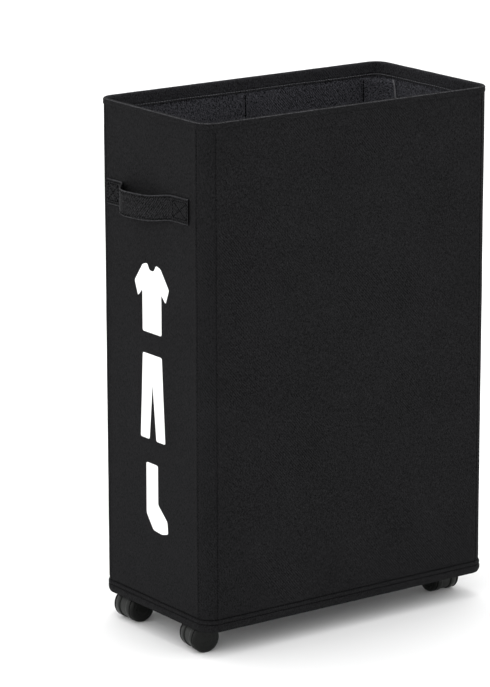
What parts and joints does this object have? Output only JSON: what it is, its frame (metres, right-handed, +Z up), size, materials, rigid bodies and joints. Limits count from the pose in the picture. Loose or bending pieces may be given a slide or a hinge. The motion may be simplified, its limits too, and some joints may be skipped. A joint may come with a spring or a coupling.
{
  "type": "rolling laundry hamper",
  "caption": "Slim rectangular fabric laundry hamper with stiffened walls, an open top, strap handles on its narrow ends and small swivelling twin-wheel casters.",
  "frame": {"origin": "on the floor under the centre of the bag, where the wheels touch the floor", "axes": "+Z up along the bag's height, X along the wide faces, Y along the narrow faces; the front is -Y and the printed end is -X"},
  "size_m": [0.4164, 0.2, 0.578],
  "materials": {
    "outer_fabric": "dark grey oxford weave, matt",
    "lining_fabric": "dark grey coated lining, matt",
    "binding_fabric": "dark grey woven binding",
    "stiffener_board": "hidden polypropylene sheet",
    "base_board": "hidden moulded board",
    "coated_steel": "black coated steel",
    "black_plastic": "black plugs",
    "webbing": "dark grey webbing strap",
    "thread": "dark sewing thread",
    "white_print": "white screen print",
    "plated_steel": "zinc plated",
    "caster_plastic": "grey moulded plastic",
    "wheel_plastic": "dark grey moulded wheel with a glossy bevel"
  },
  "bodies": {
    "hamper": {"back_board": "stiffener_board", "back_panel": "outer_fabric", "base_board": "base_board", "bottom_band": "binding_fabric", "bottom_panel": "outer_fabric", "caster_plate_back_left": "plated_steel", "caster_plate_back_right": "plated_steel", "caster_plate_front_left": "plated_steel", "caster_plate_front_right": "plated_steel", "caster_screws": "plated_steel", "corner_panels": "outer_fabric", "corner_sleeve_back_left": "lining_fabric", "corner_sleeve_back_right": "lining_fabric", "corner_sleeve_front_left": "lining_fabric", "corner_sleeve_front_right": "lining_fabric", "floor_lining": "lining_fabric", "front_board": "stiffener_board", "front_panel": "outer_fabric", "handle_left": "webbing", "handle_right": "webbing", "handle_stitching": "thread", "left_board": "stiffener_board", "left_panel": "outer_fabric", "liner": "lining_fabric", "printed_signs": "white_print", "right_board": "stiffener_board", "right_panel": "outer_fabric", "rim_binding": "binding_fabric", "rim_wire": "coated_steel", "seam_stitching": "thread", "swivel_pin_back_left": "plated_steel", "swivel_pin_back_right": "plated_steel", "swivel_pin_front_left": "plated_steel", "swivel_pin_front_right": "plated_steel"},
    "rod_front_left": {"support_rod_front_left": "coated_steel", "rod_caps_front_left": "black_plastic"},
    "rod_front_right": {"support_rod_front_right": "coated_steel", "rod_caps_front_right": "black_plastic"},
    "rod_back_left": {"support_rod_back_left": "coated_steel", "rod_caps_back_left": "black_plastic"},
    "rod_back_right": {"support_rod_back_right": "coated_steel", "rod_caps_back_right": "black_plastic"},
    "swivel_front_left": {"caster_housing_front_left": "caster_plastic", "axle_front_left": "plated_steel"},
    "wheel_a_front_left": {"wheel_a_front_left": "wheel_plastic"},
    "wheel_b_front_left": {"wheel_b_front_left": "wheel_plastic"},
    "swivel_front_right": {"caster_housing_front_right": "caster_plastic", "axle_front_right": "plated_steel"},
    "wheel_a_front_right": {"wheel_a_front_right": "wheel_plastic"},
    "wheel_b_front_right": {"wheel_b_front_right": "wheel_plastic"},
    "swivel_back_left": {"caster_housing_back_left": "caster_plastic", "axle_back_left": "plated_steel"},
    "wheel_a_back_left": {"wheel_a_back_left": "wheel_plastic"},
    "wheel_b_back_left": {"wheel_b_back_left": "wheel_plastic"},
    "swivel_back_right": {"caster_housing_back_right": "caster_plastic", "axle_back_right": "plated_steel"},
    "wheel_a_back_right": {"wheel_a_back_right": "wheel_plastic"},
    "wheel_b_back_right": {"wheel_b_back_right": "wheel_plastic"}
  },
  "joints": [
    {"name": "rod_pull_front_left", "type": "slide", "parent": "hamper", "child": "rod_front_left", "axis": [0, 0, 1], "range_m": [0, 0.5]},
    {"name": "rod_pull_front_right", "type": "slide", "parent": "hamper", "child": "rod_front_right", "axis": [0, 0, 1], "range_m": [0, 0.5]},
    {"name": "rod_pull_back_left", "type": "slide", "parent": "hamper", "child": "rod_back_left", "axis": [0, 0, 1], "range_m": [0, 0.5]},
    {"name": "rod_pull_back_right", "type": "slide", "parent": "hamper", "child": "rod_back_right", "axis": [0, 0, 1], "range_m": [0, 0.5]},
    {"name": "swivel_front_left", "type": "hinge", "parent": "hamper", "child": "swivel_front_left", "pos_m": [-0.162, -0.063, 0.03], "axis": [0, 0, 1], "continuous": true},
    {"name": "wheel_a_front_left_spin", "type": "hinge", "parent": "swivel_front_left", "child": "wheel_a_front_left", "pos_m": [-0.17125, -0.04978, 0.016], "axis": [0.1392, 0.9903, 0], "continuous": true},
    {"name": "wheel_b_front_left_spin", "type": "hinge", "parent": "swivel_front_left", "child": "wheel_b_front_left", "pos_m": [-0.17454, -0.07315, 0.016], "axis": [0.1392, 0.9903, 0], "continuous": true},
    {"name": "swivel_front_right", "type": "hinge", "parent": "hamper", "child": "swivel_front_right", "pos_m": [0.162, -0.063, 0.03], "axis": [0, 0, 1], "continuous": true},
    {"name": "wheel_a_front_right_spin", "type": "hinge", "parent": "swivel_front_right", "child": "wheel_a_front_right", "pos_m": [0.1738, -0.052, 0.016], "axis": [1, 0, 0], "continuous": true},
    {"name": "wheel_b_front_right_spin", "type": "hinge", "parent": "swivel_front_right", "child": "wheel_b_front_right", "pos_m": [0.1502, -0.052, 0.016], "axis": [1, 0, 0], "continuous": true},
    {"name": "swivel_back_left", "type": "hinge", "parent": "hamper", "child": "swivel_back_left", "pos_m": [-0.162, 0.063, 0.03], "axis": [0, 0, 1], "continuous": true},
    {"name": "wheel_a_back_left_spin", "type": "hinge", "parent": "swivel_back_left", "child": "wheel_a_back_left", "pos_m": [-0.173, 0.0748, 0.016], "axis": [0, 1, 0], "continuous": true},
    {"name": "wheel_b_back_left_spin", "type": "hinge", "parent": "swivel_back_left", "child": "wheel_b_back_left", "pos_m": [-0.173, 0.0512, 0.016], "axis": [0, 1, 0], "continuous": true},
    {"name": "swivel_back_right", "type": "hinge", "parent": "hamper", "child": "swivel_back_right", "pos_m": [0.162, 0.063, 0.03], "axis": [0, 0, 1], "continuous": true},
    {"name": "wheel_a_back_right_spin", "type": "hinge", "parent": "swivel_back_right", "child": "wheel_a_back_right", "pos_m": [0.1738, 0.074, 0.016], "axis": [1, 0, 0], "continuous": true},
    {"name": "wheel_b_back_right_spin", "type": "hinge", "parent": "swivel_back_right", "child": "wheel_b_back_right", "pos_m": [0.1502, 0.074, 0.016], "axis": [1, 0, 0], "continuous": true}
  ]
}
